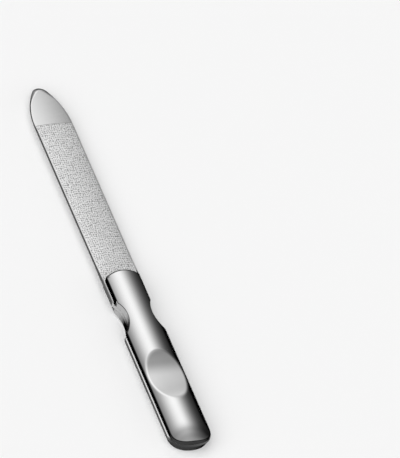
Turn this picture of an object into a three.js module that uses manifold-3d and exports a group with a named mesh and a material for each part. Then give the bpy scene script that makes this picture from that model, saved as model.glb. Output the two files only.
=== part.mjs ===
// Double-sided metal nail file: a flat steel blade between two polished, domed handle scales.
//
// The blade is one flat plate that runs the whole length and forms the handle's full tang.
// Two identical scales sit on the tang's faces, located by dowel pins in blind sockets.
// Both faces of the exposed blade carry a thin abrasive coat; the pointed tip stays smooth.
// Millimetres. +Y points to the tip, +X across the blade, +Z out of the front face.

import * as THREE from 'three';
import { mergeVertices } from 'three/addons/utils/BufferGeometryUtils.js';
import Module from 'manifold-3d';

const wasm = await Module();
wasm.setup();

// Blade
const BLADE_WIDTH = 11;
const BLADE_THICKNESS = 1.0;
const BLADE_EXPOSED = 69.2; // from the front of the scales to the tip
const BLADE_BEVEL = 0.3; // 45 degree bevel round both faces
const TIP_LENGTH = 13.7; // curved part of the tip
const TIP_RADIUS = 2.4; // rounding of the point itself
const TIP_BEVEL = 1.4; // wider bevel ground round the point, fading out along the sides
const TIP_BEVEL_DEPTH = 0.36;

// Abrasive coats
const COAT_THICKNESS = 0.12;
const COAT_MARGIN = 0.35; // bare edge beside the coat
const COAT_TIP_BARE = 14.1; // smooth length left at the tip
const COAT_SEAM = 0.2; // bare line between the coat and the scale's front

// Handle scales
const SCALE_LENGTH = 60;
const SCALE_FRONT_BULGE = 1.15; // rise of the front arc
const SCALE_FRONT_WIDTH = 9.4; // ahead of the finger notches
const SCALE_REAR_WIDTH = 10.9; // just behind the finger notches
const SCALE_END_WIDTH = 11.1; // where the rounded end begins
const SCALE_END_ROUND = 4.2; // length of the rounded end
const SCALE_END_SQUARENESS = 2.5; // 2 is an ellipse, more is squarer
const SCALE_WALL = 1.1; // side wall behind the notches, below the dome
const SCALE_CROWN = 1.4; // rise of the dome above that wall
const SCALE_END_HEIGHT = 1.35; // height of the scale at its very end
const SCALE_ROLL_LENGTH = 8; // stretch over which the dome rolls down to the end
const SCALE_ROLL_POWER = 3; // more makes the roll gentler at first and steeper at the end
const TANG_LEDGE = 0.45; // rim of tang that shows round the scales behind the notches

// Finger notches, cut through scales and tang alike
const NOTCH_RADIUS = 11;
const NOTCH_WAIST = 7.1; // width left between the two notches
const NOTCH_FROM_FRONT = 15.4; // from the front of the scales to the notch centres

// Thumb rest, an oval scoop milled straight across each dome
const THUMB_LENGTH = 17.2;
const THUMB_WIDTH = 10;
const THUMB_FROM_FRONT = 37.1; // from the front of the scales to the scoop's centre

// Dowel pins and their holes
const PIN_DIAMETER = 2;
const PIN_SOCKET_DEPTH = 1.2; // blind socket in each scale
const PIN_CLEARANCE = 0.1; // round the pin and beyond its ends
const PIN_FRONT = 5.4; // pin places, from the front of the scales
const PIN_MIDDLE = 24.8;
const PIN_REAR = 50;

// Roundness of the faceted solids
const ARC_STEPS = 20;
const END_STEPS = 28;
const DOME_STEPS = 18;
const ROLL_STEPS = 10;
const NOTCH_SIDES = 96;
const SCOOP_SIDES = 180;
const PIN_SIDES = 24;
const CUT_OVERSHOOT = 1; // how far a cutting body reaches past what it cuts

// Worked out from the sizes above; y = 0 is the front of the scales, z = 0 a face of the tang
const bladeHalf = BLADE_WIDTH / 2;
const frontHalf = SCALE_FRONT_WIDTH / 2;
const rearHalf = SCALE_REAR_WIDTH / 2;
const endHalf = SCALE_END_WIDTH / 2;
const frontArcRadius = (frontHalf ** 2 + SCALE_FRONT_BULGE ** 2) / (2 * SCALE_FRONT_BULGE);
const crestHeight = SCALE_WALL + SCALE_CROWN;
const domeRadius = (rearHalf ** 2 + SCALE_CROWN ** 2) / (2 * SCALE_CROWN);
const endStart = SCALE_END_ROUND - SCALE_LENGTH;
const fullHeight = BLADE_THICKNESS + 2 * crestHeight;

// Materials
const polishedSteel = new THREE.MeshStandardMaterial({ color: 0xd4d5d6, roughness: 0.12, metalness: 1 });
const bladeSteel = new THREE.MeshStandardMaterial({ color: 0xc9cacb, roughness: 0.3, metalness: 1 });
const abrasive = new THREE.MeshStandardMaterial({ color: 0xbfc0c0, roughness: 0.65, metalness: 0.7 });
const pinSteel = new THREE.MeshStandardMaterial({ color: 0x9da0a3, roughness: 0.4, metalness: 1 });

// Turns a closed geometry into a solid for cutting and joining
function toSolid(geometry) {
  const bare = geometry.clone();
  bare.deleteAttribute('normal');
  bare.deleteAttribute('uv');
  const merged = mergeVertices(bare, 1e-5);
  const mesh = new wasm.Mesh({
    numProp: 3,
    vertProperties: new Float32Array(merged.attributes.position.array),
    triVerts: new Uint32Array(merged.index.array),
  });
  return new wasm.Manifold(mesh);
}

// Turns a solid back into a geometry
function toGeometry(solid) {
  const mesh = solid.getMesh();
  const geometry = new THREE.BufferGeometry();
  geometry.setAttribute('position', new THREE.BufferAttribute(mesh.vertProperties, 3));
  geometry.setIndex(new THREE.BufferAttribute(mesh.triVerts, 1));
  geometry.computeVertexNormals();
  return geometry;
}

function extrude(shape, depth) {
  return new THREE.ExtrudeGeometry(shape, { depth, bevelEnabled: false, curveSegments: ARC_STEPS });
}

// An upright cylinder standing from zLow to zHigh
function uprightCylinder(radius, x, y, zLow, zHigh, sides) {
  const cylinder = new THREE.CylinderGeometry(radius, radius, zHigh - zLow, sides);
  cylinder.rotateX(Math.PI / 2);
  return cylinder.translate(x, y, (zLow + zHigh) / 2);
}

// Runs the handle's outline from its right side at the notch, round its end, to the left side.
// The step from front to rear width is at the notch centres, where the notches cut it away.
function traceHandle(shape, sideFront, rim) {
  const depth = SCALE_END_ROUND + rim;
  const halfWidth = endHalf + rim;
  const power = 2 / SCALE_END_SQUARENESS;
  shape.lineTo(sideFront, -NOTCH_FROM_FRONT);
  shape.lineTo(rearHalf + rim, -NOTCH_FROM_FRONT);
  for (let step = 0; step <= END_STEPS; step += 1) {
    const angle = (Math.PI * step) / END_STEPS;
    const along = Math.abs(Math.cos(angle)) ** power * Math.sign(Math.cos(angle));
    const down = Math.abs(Math.sin(angle)) ** power;
    shape.lineTo(halfWidth * along, endStart - depth * down);
  }
  shape.lineTo(-rearHalf - rim, -NOTCH_FROM_FRONT);
  shape.lineTo(-sideFront, -NOTCH_FROM_FRONT);
}

// Outline of a scale: a front arc, straight sides and a rounded end
function scaleOutline() {
  const halfAngle = Math.asin(frontHalf / frontArcRadius);
  const shape = new THREE.Shape();
  shape.absarc(0, -frontArcRadius, frontArcRadius, Math.PI / 2 + halfAngle, Math.PI / 2 - halfAngle, true);
  traceHandle(shape, frontHalf, 0);
  shape.closePath();
  return shape;
}

// Outline of the whole blade: side arcs that meet in a rounded point, then the tang.
// A spread makes it wider everywhere but at the point.
function bladeOutline(spread) {
  const half = bladeHalf + spread;
  const tipStart = BLADE_EXPOSED - TIP_LENGTH;
  const noseReach = TIP_LENGTH - TIP_RADIUS;
  const sideRadius = (noseReach ** 2 + half ** 2 - TIP_RADIUS ** 2) / (2 * (half - TIP_RADIUS));
  const sideCentre = sideRadius - half;
  const meet = Math.atan2(noseReach, sideCentre);
  const noseY = tipStart + noseReach;
  const shape = new THREE.Shape();
  shape.absarc(sideCentre, tipStart, sideRadius, Math.PI, Math.PI - meet, true);
  shape.absarc(0, noseY, TIP_RADIUS, Math.PI - meet, meet, true);
  shape.absarc(-sideCentre, tipStart, sideRadius, meet, 0, true);
  traceHandle(shape, half, TANG_LEDGE + spread);
  shape.closePath();
  return shape;
}

// Outline of an abrasive coat: square across at the tip, hollow where it meets the scale's arc
function coatOutline() {
  const half = bladeHalf - COAT_MARGIN;
  const tipEdge = BLADE_EXPOSED - COAT_TIP_BARE;
  const hollowRadius = frontArcRadius + COAT_SEAM;
  const halfAngle = Math.asin(half / hollowRadius);
  const shape = new THREE.Shape();
  shape.moveTo(-half, tipEdge);
  shape.lineTo(half, tipEdge);
  shape.absarc(0, -frontArcRadius, hollowRadius, Math.PI / 2 - halfAngle, Math.PI / 2 + halfAngle, false);
  shape.closePath();
  return shape;
}

function cutNotches(solid, zLow, zHigh) {
  const reach = NOTCH_WAIST / 2 + NOTCH_RADIUS;
  let cut = solid;
  for (const x of [-reach, reach]) {
    const notch = uprightCylinder(NOTCH_RADIUS, x, -NOTCH_FROM_FRONT, zLow, zHigh, NOTCH_SIDES);
    cut = cut.subtract(toSolid(notch));
  }
  return cut;
}

function cutPinHoles(solid, zLow, zHigh) {
  const radius = PIN_DIAMETER / 2 + PIN_CLEARANCE;
  let cut = solid;
  for (const fromFront of [PIN_FRONT, PIN_MIDDLE, PIN_REAR]) {
    cut = cut.subtract(toSolid(uprightCylinder(radius, 0, -fromFront, zLow, zHigh, PIN_SIDES)));
  }
  return cut;
}

// Height of a scale's dome above the tang: an arch across, rolling down towards the end
function domeHeight(x, y) {
  const arch = Math.sqrt(domeRadius ** 2 - x ** 2) - domeRadius + crestHeight;
  const rollStart = SCALE_ROLL_LENGTH - SCALE_LENGTH;
  const roll = Math.max(0, rollStart - y) / SCALE_ROLL_LENGTH;
  const drop = 1 - SCALE_END_HEIGHT / crestHeight;
  return arch * (1 - drop * roll ** SCALE_ROLL_POWER);
}

// A block wider than the scale whose top is the dome: one long row, then the rows of the roll
function domeBlock() {
  const width = SCALE_END_WIDTH + CUT_OVERSHOOT;
  const rows = ROLL_STEPS + 1;
  const block = new THREE.BoxGeometry(width, rows, 2, DOME_STEPS, rows, 1);
  const position = block.attributes.position;
  for (let i = 0; i < position.count; i += 1) {
    const row = Math.round(rows / 2 - position.getY(i));
    const rolled = ((row - 1) / ROLL_STEPS) * SCALE_ROLL_LENGTH;
    const y = row === 0 ? 0 : SCALE_ROLL_LENGTH - SCALE_LENGTH - rolled;
    const top = position.getZ(i) > 0 ? domeHeight(position.getX(i), y) : 0;
    position.setY(i, y);
    position.setZ(i, top);
  }
  return block;
}

// A roller lying across the handle that leaves an oval of the thumb rest's length and width on the dome
function thumbScoop() {
  const depth = domeRadius - Math.sqrt(domeRadius ** 2 - (THUMB_WIDTH / 2) ** 2);
  const radius = ((THUMB_LENGTH / 2) ** 2 + depth ** 2) / (2 * depth);
  const roller = new THREE.CylinderGeometry(radius, radius, SCALE_END_WIDTH + CUT_OVERSHOOT, SCOOP_SIDES);
  roller.rotateZ(Math.PI / 2);
  return roller.translate(0, -THUMB_FROM_FRONT, crestHeight - depth + radius);
}

// One scale, with its flat seat at z = 0
function scaleGeometry() {
  const top = crestHeight + CUT_OVERSHOOT;
  const outline = toSolid(extrude(scaleOutline(), top));
  let scale = toSolid(domeBlock()).intersect(outline);
  scale = cutNotches(scale, -CUT_OVERSHOOT, top);
  scale = scale.subtract(toSolid(thumbScoop()));
  scale = cutPinHoles(scale, -CUT_OVERSHOOT, PIN_SOCKET_DEPTH);
  return toGeometry(scale);
}

// A plate from z = 0 to the blade's thickness with bevelled edges
function bevelledPlate(outline, bevelWidth, bevelDepth) {
  const plate = new THREE.ExtrudeGeometry(outline, {
    depth: BLADE_THICKNESS - 2 * bevelDepth,
    bevelThickness: bevelDepth,
    bevelSize: bevelWidth,
    bevelOffset: -bevelWidth,
    bevelSegments: 1,
    curveSegments: ARC_STEPS,
  });
  return toSolid(plate.translate(0, 0, bevelDepth));
}

// The blade: an evenly bevelled blank, ground to a wider bevel round its point
function bladeGeometry() {
  const blank = bevelledPlate(bladeOutline(0), BLADE_BEVEL, BLADE_BEVEL);
  const ground = bevelledPlate(bladeOutline(TIP_BEVEL), TIP_BEVEL, TIP_BEVEL_DEPTH);
  const past = BLADE_THICKNESS + CUT_OVERSHOOT;
  const notched = cutNotches(blank.intersect(ground), -CUT_OVERSHOOT, past);
  return toGeometry(cutPinHoles(notched, -CUT_OVERSHOOT, past));
}

function pinGeometry() {
  const reach = PIN_SOCKET_DEPTH - PIN_CLEARANCE;
  return uprightCylinder(PIN_DIAMETER / 2, 0, 0, -reach, BLADE_THICKNESS + reach, PIN_SIDES);
}

function addMesh(group, name, geometry, material) {
  const mesh = new THREE.Mesh(geometry, material);
  mesh.name = name;
  group.add(mesh);
  return mesh;
}

// The file lies on its back scale, centred over the origin
const file = new THREE.Group();
file.position.set(0, (SCALE_LENGTH + TANG_LEDGE - BLADE_EXPOSED) / 2, (fullHeight - BLADE_THICKNESS) / 2);

addMesh(file, 'blade', bladeGeometry(), bladeSteel);

const coat = extrude(coatOutline(), COAT_THICKNESS);
addMesh(file, 'abrasive_coat_front', coat, abrasive).position.z = BLADE_THICKNESS;
addMesh(file, 'abrasive_coat_back', coat, abrasive).position.z = -COAT_THICKNESS;

const scale = scaleGeometry();
addMesh(file, 'handle_scale_front', scale, polishedSteel).position.z = BLADE_THICKNESS;
addMesh(file, 'handle_scale_back', scale, polishedSteel).rotation.y = Math.PI;

const pin = pinGeometry();
addMesh(file, 'dowel_pin_front', pin, pinSteel).position.y = -PIN_FRONT;
addMesh(file, 'dowel_pin_middle', pin, pinSteel).position.y = -PIN_MIDDLE;
addMesh(file, 'dowel_pin_rear', pin, pinSteel).position.y = -PIN_REAR;

export default file;
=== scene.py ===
import math

import bmesh
import bpy
from mathutils import Matrix, Vector, noise


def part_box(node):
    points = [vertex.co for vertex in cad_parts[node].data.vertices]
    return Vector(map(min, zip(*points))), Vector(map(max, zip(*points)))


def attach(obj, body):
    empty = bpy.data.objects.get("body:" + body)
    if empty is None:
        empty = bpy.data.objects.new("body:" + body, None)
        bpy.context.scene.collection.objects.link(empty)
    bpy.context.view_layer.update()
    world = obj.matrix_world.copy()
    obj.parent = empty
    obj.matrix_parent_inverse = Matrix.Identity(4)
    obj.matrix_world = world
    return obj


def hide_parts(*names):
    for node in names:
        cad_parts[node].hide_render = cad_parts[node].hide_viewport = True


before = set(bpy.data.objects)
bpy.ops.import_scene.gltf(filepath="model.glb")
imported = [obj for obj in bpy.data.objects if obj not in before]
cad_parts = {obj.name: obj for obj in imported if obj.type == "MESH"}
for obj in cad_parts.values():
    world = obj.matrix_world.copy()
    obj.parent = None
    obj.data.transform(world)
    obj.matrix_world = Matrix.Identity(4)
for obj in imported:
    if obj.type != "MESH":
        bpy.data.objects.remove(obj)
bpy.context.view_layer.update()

# Shapes are worked out in millimetres, with y = 0 at the front of the handle scales and z = 0 in the
# middle of the blade's thickness. to_piece() turns them into metres in the shared frame.
MM = 0.001


def span(node):
    """Lowest and highest corner of a CAD node, in millimetres."""
    low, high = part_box(node)
    return low / MM, high / MM


scale_low, scale_high = span("handle_scale_front")
blade_low, blade_high = span("blade")
coat_low, coat_high = span("abrasive_coat_front")

# Sizes read from the frame
HANDLE_FRONT = scale_high.y
MIDDLE = (blade_low.z + blade_high.z) / 2
THICKNESS = blade_high.z - blade_low.z
FACE_Z = THICKNESS / 2
TIP = blade_high.y - HANDLE_FRONT
SCALE_LENGTH = scale_high.y - scale_low.y
CREST = scale_high.z - scale_low.z
END_HALF = scale_high.x
LEDGE = blade_high.x - scale_high.x
COAT_HALF = coat_high.x
COAT_THICKNESS = coat_high.z - coat_low.z

# Blade
BLADE_HALF = 5.5
BLADE_BEVEL = 0.55
BLADE_BEVEL_DEPTH = 0.26
BLADE_CROWN = 0.2
CROWN_RANGE = (0.5, 6.0)
FACE_HALF = BLADE_HALF - BLADE_BEVEL
SEAM = 0.2

# Tip of the blade: its bevel narrows on the flanks, from just behind the shoulder, and widens at the nose
TIP_LENGTH = 13.7
TIP_RADIUS = 2.4
TIP_BEVEL = 1.4
TIP_BEVEL_DEPTH = 0.36
NOSE_LENGTH = 6.0
SHOULDER = TIP - TIP_LENGTH
FLANK_BEVEL = 0.32
FLANK_RANGE = (SHOULDER - 2, SHOULDER + 3)

# Tang: the ledge that it leaves beside the front of the scales, its notches, and the rim behind them
FRONT_LEDGE_BEVEL = 0.8
FRONT_LEDGE_DEPTH = 0.3
FRONT_LEDGE_RANGE = (0.3, -0.7)
NOTCH_BEVEL = 0.02
LEDGE_BEVEL = 0.42
LEDGE_FALL = 0.16
LEDGE_END_FALL = 0.9
TANG_END_RANGE = (0.5, 2.5)
TANG_GRID_END = -2.0

# Handle scales
FRONT_HALF = 4.7
FRONT_BULGE = 1.15
REAR_HALF = 5.45
END_ROUND = 4.2
FRONT_SQUARENESS = 2.8
TANG_SQUARENESS = 2.2
BACK_SQUARENESS = 2.1
CROWN = 1.4
END_HEIGHT = 1.35
ROLL_LENGTH = 8.0
ROLL_POWER = 3
EDGE_RADIUS = 0.16
SEAT_CHAMFER = 0.02
NOTCH_RADIUS = 9.4
NOTCH_HALF_WAIST = 3.55
NOTCH_Y = -15.1
FRONT_RADIUS = (FRONT_HALF**2 + FRONT_BULGE**2) / (2 * FRONT_BULGE)
DOME_RADIUS = (REAR_HALF**2 + CROWN**2) / (2 * CROWN)
END_START = END_ROUND - SCALE_LENGTH

# Thumb rest: a round trough rolled across the dome, as deep as the dome falls over half the rest's width
THUMB_LENGTH = 17.2
THUMB_WIDTH = 10.0
THUMB_Y = -37.1
THUMB_RIM = 0.16
THUMB_CROWN = 0.065
THUMB_DEPTH = DOME_RADIUS - math.sqrt(DOME_RADIUS**2 - (THUMB_WIDTH / 2) ** 2)
THUMB_RADIUS = ((THUMB_LENGTH / 2) ** 2 + THUMB_DEPTH**2) / (2 * THUMB_DEPTH)

# Pins
PIN_PLACES = (-5.4, -24.8, -50.0)
HOLE_RADIUS = 1.1
SOCKET_DEPTH = 1.2

# Abrasive coats: two sets of fine ridges that cross, broken up by noise
COAT_REACH = 0.6
COAT_TIP = coat_high.y - HANDLE_FRONT + COAT_REACH
COAT_CAMBER = 0.09
COAT_LIP = 0.02
COAT_EDGE = 0.4
GRAIN_PITCH = 0.87
GRAIN_ANGLE = math.radians(40)
GRAIN_DEPTH = 0.035
GRAIN_LEVEL = 0.5
GRAIN_RISE = 0.5
WANDER = 3.0
WANDER_SCALE = 0.9
WANDER_LAYERS = (3.1, 7.7)
WANDER_SHIFT = 17
SPECK_SIZE = 0.24
SPECK_RISE = 0.45
SPECK_LAYER = 0.5

# Fineness of the meshes
NOSE_STEPS = 12
FLANK_STEPS = 30
STRAIGHT_STEPS = 60
FRONT_ARC_STEPS = 18
FRONT_SIDE_STEPS = 12
NOTCH_STEPS = 44
NOTCH_TRIES = 8
REAR_SIDE_STEPS = 150
END_STEPS = 36
SCALE_COLUMNS = 56
BLADE_COLUMNS = 24
COAT_COLUMNS = 76
COAT_ROWS = 400
FOOT_STEP = 8
FOOT_BENDS = 6
FOOT_ROWS = (*range(0, FOOT_BENDS * FOOT_STEP + 1, FOOT_STEP), COAT_ROWS)
FILLET_STEPS = 4
HOLE_SIDES = 32
SLOPE_STEP = 0.2
CORNER_LIMIT = 0.5
SMOOTH_ANGLE = math.radians(24)

# How far the rounded bevels have fallen after each of their strips
BEVEL_FALLS = (0.08, 0.5, 1.0)
FRONT_LEDGE_FALLS = (0.12, 0.56, 1.0)

# Painted shade, standing in for shade and dark reflections: 0 is the bright face, 1 the darkest wall
SIDE_SHADE = 0.6
BEVEL_SHADE = 0.35
TIP_SHADE = 0.5
TIP_SHADE_RANGE = (TIP - 1.3 * TIP_LENGTH, TIP - TIP_LENGTH / 2)
END_SHADE = 0.7
END_SHADE_LENGTH = 1.0
TANG_END_SHADE = 0.9
LEDGE_END_SHADE = 0.6
WALL_SHADE = 1.0
FRONT_WALL_SHADE = 0.4
RIM_SHADE = 0.5
FRONT_LINE_SHADE = 0.8
FRONT_LINE = 0.5
NOTCH_SHADE = 0.25

# Share of a bevel's painted shade at the upper and lower edge of each of its strips
BEVEL_SHADE_SHARES = ((0.0, 0.0), (0.5, 1.0), (1.0, 1.0))

# Where painted shade turns each layer of the notch's wall dark, how softly, and over what length the
# scale's edge fades to its painted dark before it
FRONT_TURN = 0.66
TANG_TURN = 0.52
BACK_TURN = 0.38
TURN_BLEND = 0.3
FRONT_FADE = 0.4
BACK_FADE = 1.8


def between(start, end, count):
    """count + 1 even steps from start to end."""
    return [start + (end - start) * i / count for i in range(count + 1)]


def mix(one, two, share):
    """one at share 0 and two at share 1, in a straight line."""
    return one + (two - one) * share


def smoothstep(low, high, value):
    """0 at low and 1 at high, with a soft start and end."""
    share = min(1.0, max(0.0, (value - low) / (high - low)))
    return share * share * (3 - 2 * share)


# Outlines


class Outline:
    """The right half of an outline, from the middle of its front to the middle of its end."""

    def __init__(self, points, notch_first, notch_last):
        self.points = points
        self.notch_first = notch_first
        self.notch_last = notch_last
        self.outward = [self.outward_at(i) for i in range(len(points))]

    def outward_at(self, i):
        """Outward direction in plan at point i, longer at corners so that offsets stay even."""
        points = self.points
        x, y = points[i]
        before = points[i - 1] if i > 0 else (-points[1][0], points[1][1])
        after = points[i + 1] if i + 1 < len(points) else (-points[-2][0], points[-2][1])
        first = Vector((before[1] - y, x - before[0])).normalized()
        second = Vector((y - after[1], after[0] - x)).normalized()
        middle = (first + second).normalized()
        return middle / max(CORNER_LIMIT, middle.dot(first))

    def inset(self, widths):
        """The points moved inwards, each by its own width. The first and last stay on the middle line."""
        moved = [
            (x - out.x * width, y - out.y * width)
            for (x, y), out, width in zip(self.points, self.outward, widths)
        ]
        for end in (0, -1):
            moved[end] = (0.0, moved[end][1])
        return moved

    def in_notch(self, i):
        """Whether the stretch from point i to the next one is the notch's."""
        return self.notch_first <= i < self.notch_last

    def notch_shade(self, i, turn):
        """Painted shade along the notch's wall, from its light front to its dark rear; turn is where it is
        half dark.
        """
        share = (i - self.notch_first) / (self.notch_last - self.notch_first)
        return mix(NOTCH_SHADE, WALL_SHADE, smoothstep(turn - TURN_BLEND, turn + TURN_BLEND, share))


def rear_half(y, rim):
    """Half width of the handle's straight side behind the notches."""
    share = (NOTCH_Y - y) / (NOTCH_Y - END_START)
    return REAR_HALF + rim + (END_HALF - REAR_HALF) * share


def notch_reach(side):
    """How far from the notch's middle, along y, its arc meets a side at that half width."""
    flat = NOTCH_RADIUS + NOTCH_HALF_WAIST - side
    return math.sqrt(NOTCH_RADIUS**2 - flat**2)


def notch_arc(start, stop):
    """The notch's round cut between two places along y."""
    points = []
    for y in between(start, stop, NOTCH_STEPS):
        depth = math.sqrt(NOTCH_RADIUS**2 - (y - NOTCH_Y) ** 2)
        points.append((NOTCH_HALF_WAIST + NOTCH_RADIUS - depth, y))
    return points


def rounded_end(rim, squareness):
    """A quarter of a rounded end: squareness 2 is an ellipse, and more is squarer."""
    power = 2 / squareness
    points = []
    for angle in between(0, math.pi / 2, END_STEPS):
        x = (END_HALF + rim) * max(0.0, math.cos(angle)) ** power
        y = END_START - (END_ROUND + rim) * math.sin(angle) ** power
        points.append((x, y))
    points[-1] = (0.0, points[-1][1])
    return points


def handle_outline(front, rim, squareness):
    """Goes on from the points of the front, through the notch and the straight side, to the end."""
    front_half, front_y = front[-1]
    start = NOTCH_Y + notch_reach(front_half)
    stop = NOTCH_Y
    for _ in range(NOTCH_TRIES):
        stop = NOTCH_Y - notch_reach(rear_half(stop, rim))
    points = front + [(front_half, y) for y in between(front_y, start, FRONT_SIDE_STEPS)][1:]
    first = len(points) - 1
    points += notch_arc(start, stop)[1:]
    last = len(points) - 1
    points += [(rear_half(y, rim), y) for y in between(stop, END_START, REAR_SIDE_STEPS)][1:]
    points += rounded_end(rim, squareness)[1:]
    return Outline(points, first, last)


def scale_outline(squareness):
    """A scale with its arched front."""
    half_angle = math.asin(FRONT_HALF / FRONT_RADIUS)
    front = [
        (FRONT_RADIUS * math.sin(angle), FRONT_RADIUS * (math.cos(angle) - 1))
        for angle in between(0, half_angle, FRONT_ARC_STEPS)
    ]
    return handle_outline(front, 0, squareness)


def blade_outline():
    """The blade from its round nose to the end of its tang."""
    nose_reach = TIP_LENGTH - TIP_RADIUS
    side_radius = (nose_reach**2 + BLADE_HALF**2 - TIP_RADIUS**2) / (2 * (BLADE_HALF - TIP_RADIUS))
    centre = side_radius - BLADE_HALF
    meet = math.atan2(nose_reach, centre)
    nose = [
        (TIP_RADIUS * math.sin(angle), SHOULDER + nose_reach + TIP_RADIUS * math.cos(angle))
        for angle in between(0, math.pi / 2 - meet, NOSE_STEPS)
    ]
    flank = [
        (side_radius * math.cos(angle) - centre, SHOULDER + side_radius * math.sin(angle))
        for angle in between(meet, 0, FLANK_STEPS)
    ]
    straight = [(BLADE_HALF, y) for y in between(SHOULDER, TANG_GRID_END, STRAIGHT_STEPS)]
    return handle_outline(nose + flank[1:] + straight[1:], LEDGE, TANG_SQUARENESS)


# Heights of a scale above its seat on the tang


def dome_height(x, y):
    """Round across the handle, and rolled down towards its end."""
    arch = math.sqrt(DOME_RADIUS**2 - x**2) - DOME_RADIUS + CREST
    roll = max(0.0, ROLL_LENGTH - SCALE_LENGTH - y) / ROLL_LENGTH
    return arch * (1 - (1 - END_HEIGHT / CREST) * roll**ROLL_POWER)


def top_height(x, y):
    """The dome with the thumb rest rolled straight across it; the rest's rim is softly rounded."""
    dome = dome_height(x, y)
    away = abs(y - THUMB_Y)
    if away > THUMB_RADIUS / 2:
        return dome
    scoop = CREST - THUMB_DEPTH + THUMB_RADIUS - math.sqrt(THUMB_RADIUS**2 - away**2)
    scoop += THUMB_CROWN * (1 - (2 * x / THUMB_WIDTH) ** 2)
    blend = max(0.0, THUMB_RIM - abs(dome - scoop)) / THUMB_RIM
    return min(dome, scoop) - blend**2 * THUMB_RIM / 4


# Heights and bevels of the blade


def blade_height(x, y):
    """The blade's face, which is crowned across and flat under the scales."""
    return FACE_Z - BLADE_CROWN * smoothstep(*CROWN_RANGE, y) * (x / FACE_HALF) ** 2


def bevel_size(y):
    """Width and depth of the blade's bevel: narrow on the tip's flanks, widest round the point."""
    share = smoothstep(TIP - NOSE_LENGTH, TIP, y)
    width = mix(BLADE_BEVEL, FLANK_BEVEL, smoothstep(*FLANK_RANGE, y))
    return mix(width, TIP_BEVEL, share), mix(BLADE_BEVEL_DEPTH, TIP_BEVEL_DEPTH, share)


def tang_end_share(y):
    """0 along the tang's sides to 1 on its rounded end."""
    return smoothstep(*TANG_END_RANGE, END_START - y)


def edge_bevel(outline, i):
    """Width and depth of the bevel at a point of the blade's outline, on the blade or on the tang."""
    y = outline.points[i][1]
    if i > outline.notch_last:
        return LEDGE_BEVEL, LEDGE_BEVEL * mix(LEDGE_FALL, LEDGE_END_FALL, tang_end_share(y))
    if i >= outline.notch_first:
        return NOTCH_BEVEL, NOTCH_BEVEL
    width, depth = bevel_size(y)
    ledge = smoothstep(*FRONT_LEDGE_RANGE, y)
    return mix(width, FRONT_LEDGE_BEVEL, ledge), mix(depth, FRONT_LEDGE_DEPTH, ledge)


def bevel_fall(outline, i, strip):
    """Share of its depth that a bevel has fallen below one of its strips."""
    if i >= outline.notch_last:
        return (strip + 1) / len(BEVEL_FALLS)
    before_notch = i < outline.notch_first
    ledge = smoothstep(*FRONT_LEDGE_RANGE, outline.points[i][1]) if before_notch else 0.0
    return mix(BEVEL_FALLS[strip], FRONT_LEDGE_FALLS[strip], ledge)


# Mesh making


def row_vert(row, j):
    """A row's vertex j. A row on the middle line has only one."""
    return row[j] if len(row) > 1 else row[0]


def rim_of(rows):
    """The right and left ends of a grid's rows, as a ring."""
    return [row[-1] for row in rows], [row[0] for row in rows]


def ring_run(ring):
    """All vertices of a ring in order, right side first."""
    right, left = ring
    return right + left[-2:0:-1]


class Builder:
    """Collects the faces of a closed mesh, with a shade value at each face corner."""

    def __init__(self):
        self.mesh = bmesh.new()
        self.shade = self.mesh.loops.layers.float.new("shade")

    def vert(self, x, y, z):
        return self.mesh.verts.new((x, y, z))

    def face(self, verts, shades=None):
        """A face from vertices of which some may be the same one. Without shades it is bright."""
        kept = list(dict.fromkeys(verts))
        if len(kept) < 3:
            return
        shade_at = dict(zip(verts, shades or [0.0] * len(verts)))
        for loop in self.mesh.faces.new(kept).loops:
            loop[self.shade] = shade_at[loop.vert]

    def ring(self, half, heights):
        """Vertices round a half outline and its mirror: the right and the left ones, their ends shared."""
        right = [self.vert(x, y, z) for (x, y), z in zip(half, heights)]
        left = [self.vert(-x, y, z) for (x, y), z in list(zip(half, heights))[1:-1]]
        return right, [right[0], *left, right[-1]]

    def band(self, upper, lower, shade_of):
        """Faces between two rings. shade_of(i) is the shade above and below from point i to the next."""
        for one, two in zip(upper, lower):
            for i in range(len(one) - 1):
                above, below = shade_of(i)
                self.face([one[i], one[i + 1], two[i + 1], two[i]], [above, above, below, below])

    def grid(self, half, height_of, columns, rim_shade=0.0, shade_of=lambda x, y: 0.0):
        """A surface in straight rows across a half outline. Returns the rows."""
        rows = []
        for x, y in half:
            steps = between(-x, x, columns) if x > 0 else [0.0]
            rows.append([self.vert(step, y, height_of(step, y)) for step in steps])
        for one, two in zip(rows, rows[1:]):
            for j in range(columns):
                corners = [row_vert(row, k) for row, k in ((one, j), (one, j + 1), (two, j + 1), (two, j))]
                rims = [rim_shade if k in (0, columns) else 0.0 for k in (j, j + 1, j + 1, j)]
                shades = [max(shade_of(v.co.x, v.co.y), rim) for v, rim in zip(corners, rims)]
                self.face(corners, shades)
        return rows

    def circle(self, y, z):
        turns = between(0, 2 * math.pi, HOLE_SIDES)[:-1]
        return [self.vert(HOLE_RADIUS * math.cos(a), y + HOLE_RADIUS * math.sin(a), z) for a in turns]

    def tube(self, one, two):
        """Faces between two closed runs of vertices."""
        for i in range(len(one)):
            j = (i + 1) % len(one)
            self.face([one[i], one[j], two[j], two[i]])

    def fill(self, outer, holes):
        """A flat face inside a closed run of vertices, with round holes left open."""
        edges = []
        for run in [outer] + holes:
            for one, two in zip(run, run[1:] + run[:1]):
                edges.append(self.mesh.edges.get((one, two)) or self.mesh.edges.new((one, two)))
        bmesh.ops.triangle_fill(self.mesh, use_beauty=True, use_dissolve=False, edges=edges)


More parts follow.
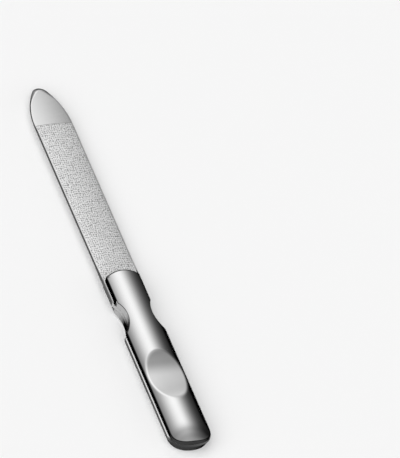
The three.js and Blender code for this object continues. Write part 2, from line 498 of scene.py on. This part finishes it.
def to_piece(builder, name, node, material, turned=False):
    """Makes a Blender piece that stands for a CAD node. turned gives the copy on the blade's back."""
    work = builder.mesh
    bmesh.ops.recalc_face_normals(work, faces=work.faces)
    turn = Matrix.Rotation(math.pi if turned else 0.0, 4, "Y")
    place = Matrix.Translation(Vector((0, HANDLE_FRONT, MIDDLE)) * MM)
    work.transform(place @ Matrix.Scale(MM, 4) @ turn)
    for face in work.faces:
        face.smooth = True
    mesh = bpy.data.meshes.new(name)
    work.to_mesh(mesh)
    work.free()
    mesh.set_sharp_from_angle(angle=SMOOTH_ANGLE)
    mesh.materials.append(material)
    piece = bpy.data.objects.new(name, mesh)
    bpy.context.scene.collection.objects.link(piece)
    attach(piece, "root")
    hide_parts(node)


# Handle scales


class ScaleShades:
    """Painted shade of a scale's rounded edge and wall, by their place on its outline."""

    def __init__(self, outline, turn, fade):
        self.outline = outline
        self.turn = turn
        self.fade = fade

    def edge(self, i):
        outline = self.outline
        if i >= outline.notch_last:
            return WALL_SHADE, WALL_SHADE
        shade = outline.notch_shade(i, self.turn)
        if i < outline.notch_first:
            ahead = outline.points[i + 1][1] - outline.points[outline.notch_first][1]
            shade = mix(shade, WALL_SHADE, smoothstep(0.0, self.fade, ahead))
        return shade, shade

    def wall(self, i):
        if i < FRONT_ARC_STEPS:
            return FRONT_WALL_SHADE, FRONT_WALL_SHADE
        past_side = END_START - self.outline.points[i][1]
        if past_side < 0:
            return self.edge(i)
        shade = mix(WALL_SHADE, END_SHADE, smoothstep(0.0, END_SHADE_LENGTH, past_side))
        return shade, shade


def front_line_shade(x, y):
    """A painted shade line on the dome along its arched front edge, and nowhere else."""
    if y < -2 * FRONT_BULGE:
        return 0.0
    from_arc = FRONT_RADIUS - math.hypot(x, y + FRONT_RADIUS)
    return FRONT_LINE_SHADE * smoothstep(FRONT_LINE, EDGE_RADIUS, from_arc)


def edge_slopes(outline):
    """How steeply the scale's top falls outwards at each point of its outline."""
    slopes = []
    for (x, y), outward in zip(outline.points, outline.outward):
        step = outward.normalized() * SLOPE_STEP
        drop = top_height(x - step.x, y - step.y) - top_height(x, y)
        slopes.append(max(0.0, math.atan2(drop, SLOPE_STEP)))
    return slopes


def add_scale_top(made, outline, shades):
    """The domed top and its rounded edge, which starts at the top's slope. Returns the lowest ring."""
    slopes = edge_slopes(outline)

    def edge_inset(angles):
        return outline.inset([EDGE_RADIUS * (1 - math.sin(angle)) for angle in angles])

    def height_of(x, y):
        return FACE_Z + top_height(x, y)

    rim = edge_inset(slopes)
    ring = rim_of(made.grid(rim, height_of, SCALE_COLUMNS, RIM_SHADE, front_line_shade))
    centres = [height_of(*point) - EDGE_RADIUS * math.cos(slope) for point, slope in zip(rim, slopes)]
    for step in range(1, FILLET_STEPS + 1):
        angles = [mix(slope, math.pi / 2, step / FILLET_STEPS) for slope in slopes]
        heights = [centre + EDGE_RADIUS * math.cos(angle) for centre, angle in zip(centres, angles)]
        below = made.ring(edge_inset(angles), heights)
        made.band(ring, below, shades.edge)
        ring = below
    return ring


def add_scale_wall(made, outline, ring, shades):
    """The upright wall below a ring, with a small chamfer at the seat. Returns the lowest ring."""
    count = len(outline.points)
    for offset, height in ((0.0, SEAT_CHAMFER), (SEAT_CHAMFER, 0.0)):
        below = made.ring(outline.inset([offset] * count), [FACE_Z + height] * count)
        made.band(ring, below, shades.wall)
        ring = below
    return ring


def add_scale_seat(made, ring):
    """The flat seat inside a ring, with the blind sockets for the pins."""
    sockets = [made.circle(y, FACE_Z) for y in PIN_PLACES]
    for y, socket in zip(PIN_PLACES, sockets):
        floor = made.circle(y, FACE_Z + SOCKET_DEPTH)
        made.tube(socket, floor)
        made.face(floor)
    made.fill(ring_run(ring), sockets)


def build_scale(turn, fade, squareness):
    """A domed scale on the front of the tang."""
    made = Builder()
    outline = scale_outline(squareness)
    shades = ScaleShades(outline, turn, fade)
    ring = add_scale_top(made, outline, shades)
    ring = add_scale_wall(made, outline, ring, shades)
    add_scale_seat(made, ring)
    return made


# Blade


class BladeShades:
    """Painted shade of the blade's bevels and side, by their place on its outline."""

    def __init__(self, outline):
        self.outline = outline

    def bevel(self, i, strip):
        y = self.outline.points[i][1]
        if self.outline.in_notch(i):
            shade = self.outline.notch_shade(i, TANG_TURN)
            return shade, shade
        if i >= self.outline.notch_last:
            shade = LEDGE_END_SHADE * tang_end_share(y)
            return shade, shade
        outer = mix(BEVEL_SHADE, TIP_SHADE, smoothstep(*TIP_SHADE_RANGE, y))
        above, below = BEVEL_SHADE_SHARES[strip]
        return outer * above, outer * below

    def side(self, i):
        if self.outline.in_notch(i):
            shade = self.outline.notch_shade(i, TANG_TURN)
        else:
            shade = mix(SIDE_SHADE, TANG_END_SHADE, tang_end_share(self.outline.points[i][1]))
        return shade, shade


def add_blade_face(made, half, side):
    """One face: a crowned grid on the blade and a flat tang behind it. Returns its rim and pin holes."""
    grid_count = NOSE_STEPS + FLANK_STEPS + STRAIGHT_STEPS + 1
    rows = made.grid(half[:grid_count], lambda x, y: side * blade_height(x, y), BLADE_COLUMNS)
    tang = half[grid_count:]
    right = [made.vert(x, y, side * FACE_Z) for x, y in tang]
    left = [made.vert(-x, y, side * FACE_Z) for x, y in tang[:-1]] + [right[-1]]
    holes = [made.circle(y, side * FACE_Z) for y in PIN_PLACES]
    made.fill(rows[-1] + right + left[-2::-1], holes)
    grid_right, grid_left = rim_of(rows)
    return (grid_right + right, grid_left + left), holes


def add_blade_bevel(made, outline, ring, side, shades):
    """The rounded bevel round one face. Returns its outer ring."""
    places = range(len(outline.points))
    bevels = [edge_bevel(outline, i) for i in places]
    face_heights = [abs(vert.co.z) for vert in ring[0]]
    for strip in range(len(BEVEL_FALLS)):
        left_over = 1 - (strip + 1) / len(BEVEL_FALLS)
        half = outline.inset([width * left_over for width, _ in bevels])
        drops = [bevels[i][1] * bevel_fall(outline, i, strip) for i in places]
        below = made.ring(half, [side * (height - drop) for height, drop in zip(face_heights, drops)])
        made.band(ring, below, lambda i: shades.bevel(i, strip))
        ring = below
    return ring


def build_blade():
    """The plate: crowned faces, rounded bevels, tang with pin holes."""
    made = Builder()
    outline = blade_outline()
    shades = BladeShades(outline)
    face_half = outline.inset([edge_bevel(outline, i)[0] for i in range(len(outline.points))])
    (front, front_holes), (back, back_holes) = (add_blade_face(made, face_half, side) for side in (1, -1))
    for one, two in zip(front_holes, back_holes):
        made.tube(one, two)
    upper = add_blade_bevel(made, outline, front, 1, shades)
    lower = add_blade_bevel(made, outline, back, -1, shades)
    made.band(upper, lower, shades.side)
    return made


# Abrasive coats


def grain(x, y):
    """0 in a valley to 1 on a ridge."""
    across = x * math.cos(GRAIN_ANGLE)
    along = y * math.sin(GRAIN_ANGLE)
    spot = (x * WANDER_SCALE, y * WANDER_SCALE)
    wander = WANDER * noise.noise((*spot, WANDER_LAYERS[0]))
    other = WANDER * noise.noise((spot[0] + WANDER_SHIFT, spot[1], WANDER_LAYERS[1]))
    turn = 2 * math.pi / GRAIN_PITCH
    weave = math.sin(turn * (across + along) + wander) * math.sin(turn * (across - along) + other)
    speck = noise.noise((x / SPECK_SIZE, y / SPECK_SIZE, SPECK_LAYER))
    return min(1.0, max(0.0, GRAIN_LEVEL + GRAIN_RISE * weave + SPECK_RISE * speck))


def coat_point(across, along):
    """A place on the coat: across it from -1 to 1, and along it from 0 at the handle to 1 at the tip."""
    start = math.sqrt((FRONT_RADIUS + SEAM) ** 2 - (across * COAT_HALF) ** 2) - FRONT_RADIUS
    y = mix(start, COAT_TIP, along)
    return across * min(COAT_HALF, BLADE_HALF - bevel_size(y)[0] - COAT_LIP), y


def add_coat_top(made):
    """The grainy surface, lower towards the coat's sides. Returns its rows."""
    rows = []
    grains = {}
    for along in between(0, 1, COAT_ROWS):
        row = []
        for across in between(-1, 1, COAT_COLUMNS):
            x, y = coat_point(across, along)
            # Towards the tip the grain value falls to 0, so the coat sinks to its lip and darkens
            value = grain(x, y) * smoothstep(0.0, COAT_EDGE, COAT_TIP - y)
            crown = COAT_THICKNESS - COAT_CAMBER * across**4
            height = max(COAT_LIP, crown - GRAIN_DEPTH * (1 - value))
            row.append(made.vert(x, y, blade_height(x, y) + height))
            grains[row[-1]] = value
        rows.append(row)
    for one, two in zip(rows, rows[1:]):
        for j in range(COAT_COLUMNS):
            corners = [one[j], one[j + 1], two[j + 1], two[j]]
            # The grain value is each corner's shade: the grit's grey paints the valleys darker, as painted
            # shade
            made.face(corners, [grains[vert] for vert in corners])
    return rows


def add_coat_foot(made, rows):
    """The coat's upright rim, and its underside, which lies on the blade and bends where the blade does."""
    feet = {}

    def foot(i, j):
        above = rows[i][j]
        if above not in feet:
            x, y, _ = above.co
            feet[above] = made.vert(x, y, blade_height(x, y))
        return feet[above]

    right = COAT_COLUMNS
    rim = [(0, j) for j in range(right + 1)] + [(i, right) for i in range(1, COAT_ROWS)]
    rim += [(COAT_ROWS, j) for j in range(right, -1, -1)] + [(i, 0) for i in range(COAT_ROWS - 1, 0, -1)]
    made.tube([rows[i][j] for i, j in rim], [foot(i, j) for i, j in rim])
    for start, end in zip(FOOT_ROWS, FOOT_ROWS[1:]):
        for j in range(1, right - 1):
            made.face([foot(start, j), foot(start, j + 1), foot(end, j + 1), foot(end, j)])
        for side, inner in ((0, 1), (right, right - 1)):
            for i in range(start, end):
                made.face([foot(i, side), foot(i + 1, side), foot(end, inner)])
            made.face([foot(start, side), foot(end, inner), foot(start, inner)])


def build_coat():
    """The layer of grit on the blade's front face."""
    made = Builder()
    add_coat_foot(made, add_coat_top(made))
    return made


# Materials

# Stretch of a noise's values that a ramp spreads out
NOISE_LOW = 0.3
NOISE_HIGH = 0.7

BUMP_DISTANCE = 0.00002


def new_material(name):
    material = bpy.data.materials.new(name)
    material.use_nodes = True
    tree = material.node_tree
    return material, tree, tree.nodes["Principled BSDF"]


def add(tree, kind, **settings):
    node = tree.nodes.new(kind)
    for key, value in settings.items():
        setattr(node, key, value)
    return node


def object_noise(tree, scale, stretch=(1, 1, 1), detail=3.0):
    """Noise in the piece's own coordinates. A low stretch draws it out along that axis."""
    coords = add(tree, "ShaderNodeTexCoord")
    mapping = add(tree, "ShaderNodeMapping")
    mapping.inputs["Scale"].default_value = stretch
    texture = add(tree, "ShaderNodeTexNoise")
    texture.inputs["Scale"].default_value = scale
    texture.inputs["Detail"].default_value = detail
    tree.links.new(coords.outputs["Object"], mapping.inputs["Vector"])
    tree.links.new(mapping.outputs["Vector"], texture.inputs["Vector"])
    return texture.outputs["Fac"]


def ramp(tree, factor, stops):
    """A ramp of greys: stops are (place, value)."""
    node = add(tree, "ShaderNodeValToRGB")
    elements = node.color_ramp.elements
    while len(elements) < len(stops):
        elements.new(0.5)
    for element, (place, value) in zip(elements, stops):
        element.position = place
        element.color = (value, value, value, 1)
    tree.links.new(factor, node.inputs["Fac"])
    return node.outputs["Color"]


def noise_ramp(tree, source, low, high):
    """Values from low to high that follow a noise."""
    return ramp(tree, source, [(NOISE_LOW, low), (NOISE_HIGH, high)])


def mix_colour(tree, factor, one, two):
    node = add(tree, "ShaderNodeMix", data_type="RGBA")
    tree.links.new(factor, node.inputs["Factor"])
    tree.links.new(one, node.inputs["A"])
    tree.links.new(two, node.inputs["B"])
    return node.outputs["Result"]


def bump(tree, shader, height, strength):
    node = add(tree, "ShaderNodeBump")
    node.inputs["Strength"].default_value = strength
    node.inputs["Distance"].default_value = BUMP_DISTANCE
    tree.links.new(height, node.inputs["Height"])
    tree.links.new(node.outputs["Normal"], shader.inputs["Normal"])


def shade_attribute(tree):
    return add(tree, "ShaderNodeAttribute", attribute_name="shade").outputs["Fac"]


def painted_shade_grey(tree, shader, greys, source, depth):
    """Gives the shader a grey that follows the painted shade, made a little uneven by a noise."""
    node = add(tree, "ShaderNodeMix", data_type="RGBA", blend_type="MULTIPLY")
    node.inputs["Factor"].default_value = 1.0
    tree.links.new(ramp(tree, shade_attribute(tree), greys), node.inputs["A"])
    tree.links.new(noise_ramp(tree, source, 1 - depth, 1.0), node.inputs["B"])
    tree.links.new(node.outputs["Result"], shader.inputs["Base Color"])


def dim_edges(tree, shader):
    """Takes the bright grazing reflection off walls darkened by painted shade."""
    tint = ramp(tree, shade_attribute(tree), [(0.0, 1.0), (0.7, 0.25), (1.0, 0.0)])
    tree.links.new(tint, shader.inputs["Specular Tint"])


def polished_steel():
    """Mirror polish with faint wipe marks; the walls carry painted shade, a painted dark reflection, and are
    satin.
    """
    material, tree, shader = new_material("polished_steel")
    shader.inputs["Metallic"].default_value = 1.0
    cloud = object_noise(tree, scale=160, stretch=(1, 0.6, 1))
    hairline = object_noise(tree, scale=5200, stretch=(1, 0.05, 1), detail=2.0)
    greys = [(0.0, 0.94), (0.3, 0.42), (0.7, 0.055), (1.0, 0.01)]
    painted_shade_grey(tree, shader, greys, cloud, depth=0.04)
    dim_edges(tree, shader)
    smooth = noise_ramp(tree, cloud, 0.05, 0.09)
    satin = noise_ramp(tree, hairline, 0.26, 0.36)
    tree.links.new(mix_colour(tree, shade_attribute(tree), smooth, satin), shader.inputs["Roughness"])
    bump(tree, shader, hairline, strength=0.02)
    return material


def blade_steel():
    """Satin steel brushed across the blade; painted shade darkens the bevels and sides of its edge, and its
    notch walls.
    """
    material, tree, shader = new_material("blade_steel")
    shader.inputs["Metallic"].default_value = 1.0
    brush = object_noise(tree, scale=4200, stretch=(0.06, 1, 1))
    greys = [(0.0, 0.92), (0.3, 0.46), (0.6, 0.2), (1.0, 0.02)]
    painted_shade_grey(tree, shader, greys, brush, depth=0.06)
    dim_edges(tree, shader)
    rough = ramp(tree, brush, [(0.25, 0.16), (0.75, 0.24)])
    tree.links.new(rough, shader.inputs["Roughness"])
    bump(tree, shader, brush, strength=0.04)
    return material


def abrasive_grit():
    """Bonded metallic grit, rougher in the valleys; painted shade darkens the valleys and leaves the ridges
    bright.
    """
    material, tree, shader = new_material("abrasive_grit")
    shader.inputs["Metallic"].default_value = 0.55
    grit = object_noise(tree, scale=3200, detail=1.0)
    greys = [(0.1, 0.32), (0.5, 0.88), (0.75, 1.0)]
    painted_shade_grey(tree, shader, greys, grit, depth=0.15)
    rough = ramp(tree, shade_attribute(tree), [(0.2, 0.4), (0.8, 0.28)])
    tree.links.new(rough, shader.inputs["Roughness"])
    bump(tree, shader, grit, strength=0.25)
    return material


def pin_steel():
    """Plain ground steel with turning marks, for the hidden dowels."""
    material, tree, shader = new_material("pin_steel")
    shader.inputs["Metallic"].default_value = 1.0
    marks = object_noise(tree, scale=7000, stretch=(0.1, 0.1, 1), detail=2.0)
    tree.links.new(noise_ramp(tree, marks, 0.5, 0.66), shader.inputs["Base Color"])
    tree.links.new(noise_ramp(tree, marks, 0.3, 0.45), shader.inputs["Roughness"])
    return material


class Sums:
    """Short forms of the maths nodes of one node tree."""

    def __init__(self, tree):
        self.tree = tree

    def do(self, operation, *values):
        """One maths node: numbers are set on its inputs, and other nodes' outputs are linked to them."""
        node = add(self.tree, "ShaderNodeMath", operation=operation)
        for socket, value in zip(node.inputs, values):
            if isinstance(value, (int, float)):
                socket.default_value = value
            else:
                self.tree.links.new(value, socket)
        return node.outputs[0]

    def bell(self, value, middle, spread):
        """1 at the middle, falling off smoothly on both sides."""
        away = self.do("DIVIDE", self.do("SUBTRACT", value, middle), spread)
        return self.do("EXPONENT", self.do("MULTIPLY", self.do("MULTIPLY", away, away), -0.5))

    def step(self, value, start, end, low, high):
        """Goes smoothly from low to high as the value goes from start to end."""
        node = add(self.tree, "ShaderNodeMapRange", interpolation_type="SMOOTHSTEP")
        for name, number in (("From Min", start), ("From Max", end), ("To Min", low), ("To Max", high)):
            node.inputs[name].default_value = number
        self.tree.links.new(value, node.inputs["Value"])
        return node.outputs["Result"]

    def fold(self, operation, values):
        """One operation over all the values, from the first on."""
        total = values[0]
        for value in values[1:]:
            total = self.do(operation, total, value)
        return total

    def times(self, *values):
        return self.fold("MULTIPLY", values)

    def plus(self, *values):
        return self.fold("ADD", values)


# Floor
FLOOR_SIDE = 30.0
FLOOR_DROP = 0.00002
FLOOR_COLOUR = 0.85
FLOOR_FIBRE = 0.003
FLOOR_GLOW = 0.05
FLOOR_ROUGHNESS = 0.9


def floor_paper():
    """Pale paper. Its glow for seen and mirrored rays lifts it near to white and leaves the shadow on it."""
    material, tree, shader = new_material("floor_paper")
    fibre = object_noise(tree, scale=900)
    colour = noise_ramp(tree, fibre, FLOOR_COLOUR - FLOOR_FIBRE, FLOOR_COLOUR)
    tree.links.new(colour, shader.inputs["Base Color"])
    shader.inputs["Roughness"].default_value = FLOOR_ROUGHNESS
    shader.inputs["Specular IOR Level"].default_value = 0.0
    sums = Sums(tree)
    rays = add(tree, "ShaderNodeLightPath").outputs
    kinds = [rays[f"Is {kind} Ray"] for kind in ("Camera", "Glossy", "Transmission")]
    glow = sums.times(sums.fold("MAXIMUM", kinds), FLOOR_GLOW)
    shader.inputs["Emission Color"].default_value = (1, 1, 1, 1)
    tree.links.new(glow, shader.inputs["Emission Strength"])
    return material


def make_floor():
    mesh = bpy.data.meshes.new("floor")
    reach = FLOOR_SIDE / 2
    corners = [(-reach, -reach), (reach, -reach), (reach, reach), (-reach, reach)]
    mesh.from_pydata([(x, y, -FLOOR_DROP) for x, y in corners], [], [(0, 1, 2, 3)])
    floor = bpy.data.objects.new("floor", mesh)
    bpy.context.scene.collection.objects.link(floor)
    mesh.materials.append(floor_paper())


# The studio: soft lights given by direction, for the metal to mirror. A range is where a light fades in or
# out. The two soft boxes are placed as on a wall in front of +Y: x / y across it and z / y up it.
NEAREST_AHEAD = 0.02
FACING_RANGE = (0.0, 0.1)
STRIP_MIDDLE = 0.166
STRIP_SPREADS = (0.306, 0.219)
STRIP_SPREAD_SEAM = 0.01
STRIP_LIGHT = 0.96
STRIP_TOP = 0.43
STRIP_TOP_RANGE = (0.36, 0.6)
STRIP_CROWN = 0.7
STRIP_CROWN_RANGE = (0.12, 0.36)
STRIP_REAR_RANGE = (-0.4, -0.15)
STRIP_LOW = 0.68
STRIP_LOW_RANGE = (0.0, 1.0)
STRIP_FOOT_RANGE = (0.19, 0.31)
SIDE_PLACE = (-1.15, 0.6)
SIDE_SPREAD = 0.28
SIDE_LIGHT = 0.6
LOW_PLACE = (0.62, 0.24)
LOW_SPREAD = 0.16
LOW_LIGHT = 0.6
OVERHEAD_LIGHT = 0.06
OVERHEAD_RANGE = (0.5, 0.95)
REAR_LIGHT = 0.05
REAR_RANGE = (-0.1, -0.55)
SURROUND_HEIGHT = 0.28
SURROUND_SPREAD = 0.3
SURROUND_LIGHT = 0.7
SURROUND_RANGE = (0.15, -0.15)
HORIZON_LIGHT = 0.94
HORIZON_RANGE = (0.015, 0.035)


def strip_light(sums, x, y, z, up_wall):
    """A soft strip from beyond the tip to overhead, dimmer towards its top and its foot."""
    seam = (STRIP_MIDDLE - STRIP_SPREAD_SEAM, STRIP_MIDDLE + STRIP_SPREAD_SEAM)
    return sums.times(
        sums.bell(x, STRIP_MIDDLE, sums.step(x, *seam, *STRIP_SPREADS)),
        sums.step(y, *STRIP_TOP_RANGE, STRIP_TOP, 1.0),
        sums.step(y, *STRIP_CROWN_RANGE, STRIP_CROWN, 1.0),
        sums.step(y, *STRIP_REAR_RANGE, 0.0, 1.0),
        sums.step(up_wall, *STRIP_LOW_RANGE, STRIP_LOW, 1.0),
        sums.step(z, *STRIP_FOOT_RANGE, 0.0, 1.0),
        STRIP_LIGHT,
    )


def surround_light(sums, y, z):
    """A soft band round the back of the studio, behind the handle."""
    return sums.times(
        sums.step(y, *SURROUND_RANGE, 0.0, 1.0),
        sums.bell(z, SURROUND_HEIGHT, SURROUND_SPREAD),
        SURROUND_LIGHT,
    )


def make_studio():
    """The world: strip, two low soft boxes, faint light overhead and behind, and a pale horizon."""
    world = bpy.data.worlds.new("studio")
    bpy.context.scene.world = world
    world.use_nodes = True
    tree = world.node_tree
    sums = Sums(tree)
    split = add(tree, "ShaderNodeSeparateXYZ")
    tree.links.new(add(tree, "ShaderNodeTexCoord").outputs["Generated"], split.inputs[0])
    x, y, z = (split.outputs[name] for name in "XYZ")
    ahead = sums.do("MAXIMUM", y, NEAREST_AHEAD)
    across_wall = sums.do("DIVIDE", x, ahead)
    up_wall = sums.do("DIVIDE", z, ahead)
    facing = sums.step(y, *FACING_RANGE, 0.0, 1.0)

    def soft_box(place, spread, light):
        across = sums.bell(across_wall, place[0], spread)
        up = sums.bell(up_wall, place[1], spread)
        return sums.times(across, up, facing, light)

    total = sums.plus(
        strip_light(sums, x, y, z, up_wall),
        soft_box(SIDE_PLACE, SIDE_SPREAD, SIDE_LIGHT),
        soft_box(LOW_PLACE, LOW_SPREAD, LOW_LIGHT),
        sums.step(z, *OVERHEAD_RANGE, 0.0, OVERHEAD_LIGHT),
        sums.step(y, *REAR_RANGE, 0.0, REAR_LIGHT),
        surround_light(sums, y, z),
    )
    light = sums.do("MAXIMUM", total, sums.step(z, *HORIZON_RANGE, HORIZON_LIGHT, 0.0))
    tree.links.new(light, tree.nodes["Background"].inputs["Strength"])
    tree.nodes["Background"].inputs["Color"].default_value = (1, 1, 1, 1)


# Lamp
LAMP_STRENGTH = 2.6
LAMP_ANGLE = math.radians(80)
LAMP_FROM = Vector((-0.55, -0.4, 1.0))


def make_lamp():
    """One large soft lamp for the floor and the grit; the polished metal mirrors the studio only."""
    data = bpy.data.lights.new("lamp", "SUN")
    data.energy = LAMP_STRENGTH
    data.angle = LAMP_ANGLE
    lamp = bpy.data.objects.new("lamp", data)
    lamp.rotation_euler = LAMP_FROM.to_track_quat("Z", "Y").to_euler()
    lamp.visible_glossy = False
    bpy.context.scene.collection.objects.link(lamp)


# Camera: the picture's right and up directions in the shared frame, as measured in the photo, and a point
# on the blade's middle line with its pixel
IMAGE_WIDTH = 400
IMAGE_HEIGHT = 458
PIXELS_PER_MM = 3.8071
CAMERA_DISTANCE = 2500.0
CAMERA_RIGHT = Vector((0.9216, -0.3220, 0.2148))
CAMERA_UP = Vector((0.0932, 0.7231, 0.6845))
HELD_Y = 4.3
HELD_PIXEL = (114.6, 265.3)
SENSOR = 36.0
CLIP_START = 0.1
CLIP_END = 100.0


def make_camera():
    """Places the camera so that the held point falls on its pixel of the photo."""
    right = CAMERA_RIGHT.normalized()
    up = (CAMERA_UP - right * CAMERA_UP.dot(right)).normalized()
    back = right.cross(up)
    across = (IMAGE_WIDTH / 2 - HELD_PIXEL[0]) / PIXELS_PER_MM
    rise = (HELD_PIXEL[1] - IMAGE_HEIGHT / 2) / PIXELS_PER_MM
    held = Vector((0.0, HANDLE_FRONT + HELD_Y, MIDDLE))
    spot = held + right * across + up * rise + back * CAMERA_DISTANCE
    data = bpy.data.cameras.new("camera")
    data.sensor_width = SENSOR
    data.lens = SENSOR * PIXELS_PER_MM * CAMERA_DISTANCE / max(IMAGE_WIDTH, IMAGE_HEIGHT)
    data.clip_start = CLIP_START
    data.clip_end = CLIP_END
    camera = bpy.data.objects.new("camera", data)
    bpy.context.scene.collection.objects.link(camera)
    turn = Matrix((right, up, back)).transposed().to_4x4()
    camera.matrix_world = Matrix.Translation(spot * MM) @ turn
    bpy.context.scene.camera = camera


def dress_pins():
    """The pins are the CAD's own; they only get their material."""
    material = pin_steel()
    for name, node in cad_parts.items():
        if name.startswith("dowel_pin"):
            node.data.materials.clear()
            node.data.materials.append(material)


def main():
    bpy.context.scene.view_settings.view_transform = "Standard"
    polish = polished_steel()
    grit = abrasive_grit()
    to_piece(build_blade(), "blade_plate", "blade", blade_steel())
    front = build_scale(FRONT_TURN, FRONT_FADE, FRONT_SQUARENESS)
    back = build_scale(BACK_TURN, BACK_FADE, BACK_SQUARENESS)
    to_piece(front, "scale_front", "handle_scale_front", polish)
    to_piece(back, "scale_back", "handle_scale_back", polish, turned=True)
    to_piece(build_coat(), "grit_front", "abrasive_coat_front", grit)
    to_piece(build_coat(), "grit_back", "abrasive_coat_back", grit, turned=True)
    dress_pins()
    make_floor()
    make_studio()
    make_lamp()
    make_camera()


main()
